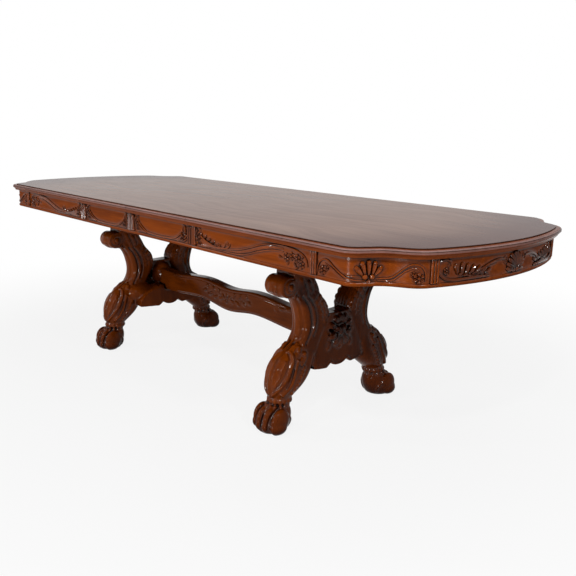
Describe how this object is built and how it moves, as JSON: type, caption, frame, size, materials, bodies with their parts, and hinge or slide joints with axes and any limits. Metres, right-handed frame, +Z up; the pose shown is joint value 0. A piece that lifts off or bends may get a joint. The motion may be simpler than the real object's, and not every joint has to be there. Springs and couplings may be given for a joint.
{
  "type": "extending dining table",
  "caption": "Long extending dining table with a serpentine-cornered top, two drop-in leaves, carved aprons and lion-paw pedestals joined by a wavy stretcher.",
  "frame": {"origin": "on the floor under the middle of the extended table, at the seam between the two leaves", "axes": "+X along the table to the end that is nearer in the picture, -Y towards the long front side, +Z up"},
  "size_m": [2.7438, 1.022, 0.77],
  "materials": {
    "top_veneer": "glossy lacquered cherry or walnut veneer, grain along the leaves",
    "carved_wood": "glossy reddish brown lacquer with a dark glaze in the recesses",
    "frame_wood": "plain satin hardwood",
    "steel": "zinc plated, satin",
    "brass": "satin",
    "glide": "dark nylon, matt"
  },
  "bodies": {
    "base": {"leg_front_right": "carved_wood", "leg_front_left": "carved_wood", "leg_back_right": "carved_wood", "leg_back_left": "carved_wood", "pedestal_panel_right": "carved_wood", "pedestal_panel_left": "carved_wood", "pedestal_block_right": "carved_wood", "pedestal_block_left": "carved_wood", "stretcher": "carved_wood", "bolster_right": "frame_wood", "bolster_left": "frame_wood", "slide_rail_front": "frame_wood", "slide_rail_back": "frame_wood", "rail_ties": "frame_wood", "pinion_bar": "frame_wood", "pinion_stud": "steel", "bolster_bolts": "steel", "foot_glides": "glide"},
    "pinion": {"pinion": "steel"},
    "half_right": {"top_right": "top_veneer", "side_apron_front_right": "carved_wood", "side_apron_back_right": "carved_wood", "corner_apron_front_right": "carved_wood", "corner_apron_back_right": "carved_wood", "end_apron_right": "carved_wood", "pilasters_right": "carved_wood", "runner_front_right": "frame_wood", "runner_back_right": "frame_wood", "corner_blocks_right": "frame_wood", "rack_right": "steel", "lock_plates_right": "brass", "leaf_pins_right": "brass"},
    "leaf_right_unit": {"leaf_right": "top_veneer", "leaf_apron_front_right": "carved_wood", "leaf_apron_back_right": "carved_wood", "leaf_battens_right": "frame_wood", "lock_catches_right": "brass"},
    "half_left": {"top_left": "top_veneer", "side_apron_front_left": "carved_wood", "side_apron_back_left": "carved_wood", "corner_apron_front_left": "carved_wood", "corner_apron_back_left": "carved_wood", "end_apron_left": "carved_wood", "pilasters_left": "carved_wood", "runner_front_left": "frame_wood", "runner_back_left": "frame_wood", "corner_blocks_left": "frame_wood", "rack_left": "steel", "lock_plates_left": "brass", "leaf_pins_left": "brass"},
    "leaf_left_unit": {"leaf_left": "top_veneer", "leaf_apron_front_left": "carved_wood", "leaf_apron_back_left": "carved_wood", "leaf_battens_left": "frame_wood", "lock_catches_left": "brass"},
    "lever_front_right": {"lock_lever_front_right": "brass"},
    "lever_front_left": {"lock_lever_front_left": "brass"},
    "lever_back_right": {"lock_lever_back_right": "brass"},
    "lever_back_left": {"lock_lever_back_left": "brass"}
  },
  "joints": [
    {"name": "half_right_slide", "type": "slide", "parent": "base", "child": "half_right", "axis": [1, 0, 0], "range_m": [0, 0.04]},
    {"name": "half_left_slide", "type": "slide", "parent": "base", "child": "half_left", "axis": [-1, 0, 0], "range_m": [0, 0.04]},
    {"name": "pinion_spin", "type": "hinge", "parent": "base", "child": "pinion", "pos_m": [0, 0, 0.7253], "axis": [0, 0, 1], "range_deg": [-72, 0]},
    {"name": "leaf_right_lift", "type": "slide", "parent": "base", "child": "leaf_right_unit", "axis": [0, 0, 1], "range_m": [0, 0.15]},
    {"name": "leaf_left_lift", "type": "slide", "parent": "base", "child": "leaf_left_unit", "axis": [0, 0, 1], "range_m": [0, 0.15]},
    {"name": "lever_front_right_turn", "type": "hinge", "parent": "half_right", "child": "lever_front_right", "pos_m": [0.436, -0.32, 0.7377], "axis": [0, 0, 1], "range_deg": [0, 75]},
    {"name": "lever_back_right_turn", "type": "hinge", "parent": "half_right", "child": "lever_back_right", "pos_m": [0.436, 0.32, 0.7377], "axis": [0, 0, 1], "range_deg": [-75, 0]},
    {"name": "lever_front_left_turn", "type": "hinge", "parent": "half_left", "child": "lever_front_left", "pos_m": [-0.436, -0.32, 0.7377], "axis": [0, 0, 1], "range_deg": [-75, 0]},
    {"name": "lever_back_left_turn", "type": "hinge", "parent": "half_left", "child": "lever_back_left", "pos_m": [-0.436, 0.32, 0.7377], "axis": [0, 0, 1], "range_deg": [0, 75]}
  ],
  "couplings": [
    {"joint": "half_left_slide", "follows": "half_right_slide", "ratio": 1},
    {"joint": "pinion_spin", "follows": "half_right_slide", "rad_per_m": -31.25}
  ]
}
